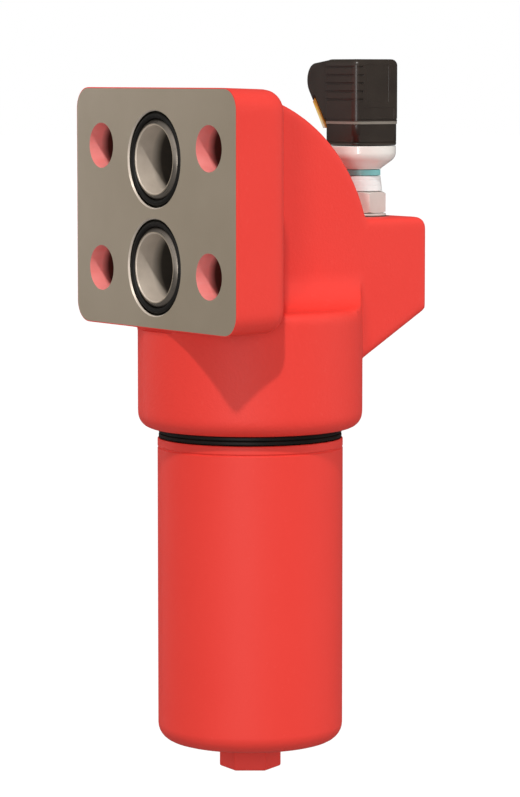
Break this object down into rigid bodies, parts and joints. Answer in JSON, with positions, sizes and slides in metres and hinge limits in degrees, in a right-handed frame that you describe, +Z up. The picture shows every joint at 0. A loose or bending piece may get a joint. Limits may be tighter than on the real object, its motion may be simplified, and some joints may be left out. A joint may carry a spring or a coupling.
{
  "type": "hydraulic pressure filter",
  "caption": "Flange-mounted high-pressure hydraulic filter: cast head with two stacked ports, screwed-in bowl over a pleated element, and an electrical clogging indicator.",
  "frame": {"origin": "middle between the two ports, on the machined mounting face", "axes": "-Y out of the mounting face, +Z up, along the bowl's axis, +X to the right seen from in front of the face"},
  "size_m": [0.1488, 0.1517, 0.3641],
  "materials": {
    "red_paint": "semi-gloss enamel over a cast or turned steel surface",
    "black_rubber": "moulded",
    "grey_rubber": "moulded",
    "turned_steel": "turned",
    "zinc_plate": "zinc plated",
    "brass": "satin",
    "black_nylon": "moulded, slightly glossy",
    "pale_plastic": "moulded",
    "white_plastic": "skived",
    "teal_plastic": "moulded",
    "amber_plastic": "moulded",
    "filter_medium": "pleated glass fibre medium"
  },
  "bodies": {
    "head": {"head_casting": "red_paint", "port_oring_upper": "black_rubber", "port_oring_lower": "black_rubber", "element_spigot": "turned_steel", "spigot_oring": "black_rubber", "element_top_cap": "zinc_plate", "element_bottom_cap": "zinc_plate", "element_pleat_pack": "filter_medium", "element_core_tube": "zinc_plate", "bypass_spring": "turned_steel", "bypass_retainer": "zinc_plate", "indicator_body": "turned_steel", "indicator_seal_ring": "zinc_plate", "indicator_white_band": "pale_plastic", "indicator_teal_band": "teal_plastic", "indicator_lens": "pale_plastic", "indicator_spring": "turned_steel", "indicator_socket": "black_nylon", "contact_pin_left": "brass", "contact_pin_right": "brass", "contact_pin_earth": "brass", "plug_gasket": "grey_rubber", "plug_housing": "black_nylon", "plug_amber_strip": "amber_plastic", "plug_screw": "turned_steel", "gland_nut": "black_nylon", "gland_seal": "black_rubber"},
    "bowl": {"bowl": "red_paint", "bowl_dust_ring": "black_rubber", "bowl_oring": "black_rubber", "bowl_backup_ring": "white_plastic"},
    "bypass": {"bypass_poppet": "turned_steel"},
    "sensor": {"indicator_piston": "turned_steel"}
  },
  "joints": [
    {"name": "bowl_drop", "type": "slide", "parent": "head", "child": "bowl", "axis": [0, 0, -1], "range_m": [0, 0.2]},
    {"name": "bypass_lift", "type": "slide", "parent": "head", "child": "bypass", "axis": [0, 0, 1], "range_m": [0, 0.006], "stiffness_N_per_m": 2000, "springref_m": -0.004, "deforming": ["bypass_spring"]},
    {"name": "indicator_rise", "type": "slide", "parent": "head", "child": "sensor", "axis": [0, 0, 1], "range_m": [0, 0.0025], "stiffness_N_per_m": 1500, "springref_m": -0.002, "deforming": ["indicator_spring"]}
  ]
}
